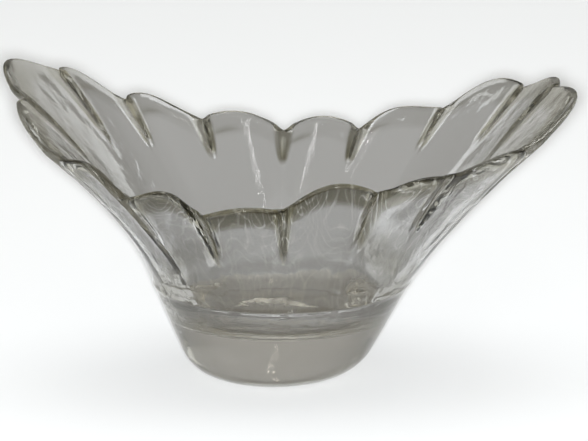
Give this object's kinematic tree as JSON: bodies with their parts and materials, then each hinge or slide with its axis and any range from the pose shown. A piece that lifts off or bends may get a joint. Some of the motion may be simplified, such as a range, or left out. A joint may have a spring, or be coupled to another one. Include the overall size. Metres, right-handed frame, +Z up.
{
  "type": "floating candle bowl",
  "caption": "Heavy clear glass bowl for floating candles: an oval boat-shaped wall of rounded petals, drawn up at both ends, on a solid tapered round foot.",
  "frame": {"origin": "middle of the foot's underside, on the table", "axes": "+Z up out of the bowl, +X along the bowl's long way, -Y towards the side that the picture shows"},
  "size_m": [0.2899, 0.1606, 0.1579],
  "materials": {
    "clear_glass": "polished"
  },
  "bodies": {
    "root": {"petal_wall": "clear_glass", "solid_foot": "clear_glass"}
  },
  "joints": []
}
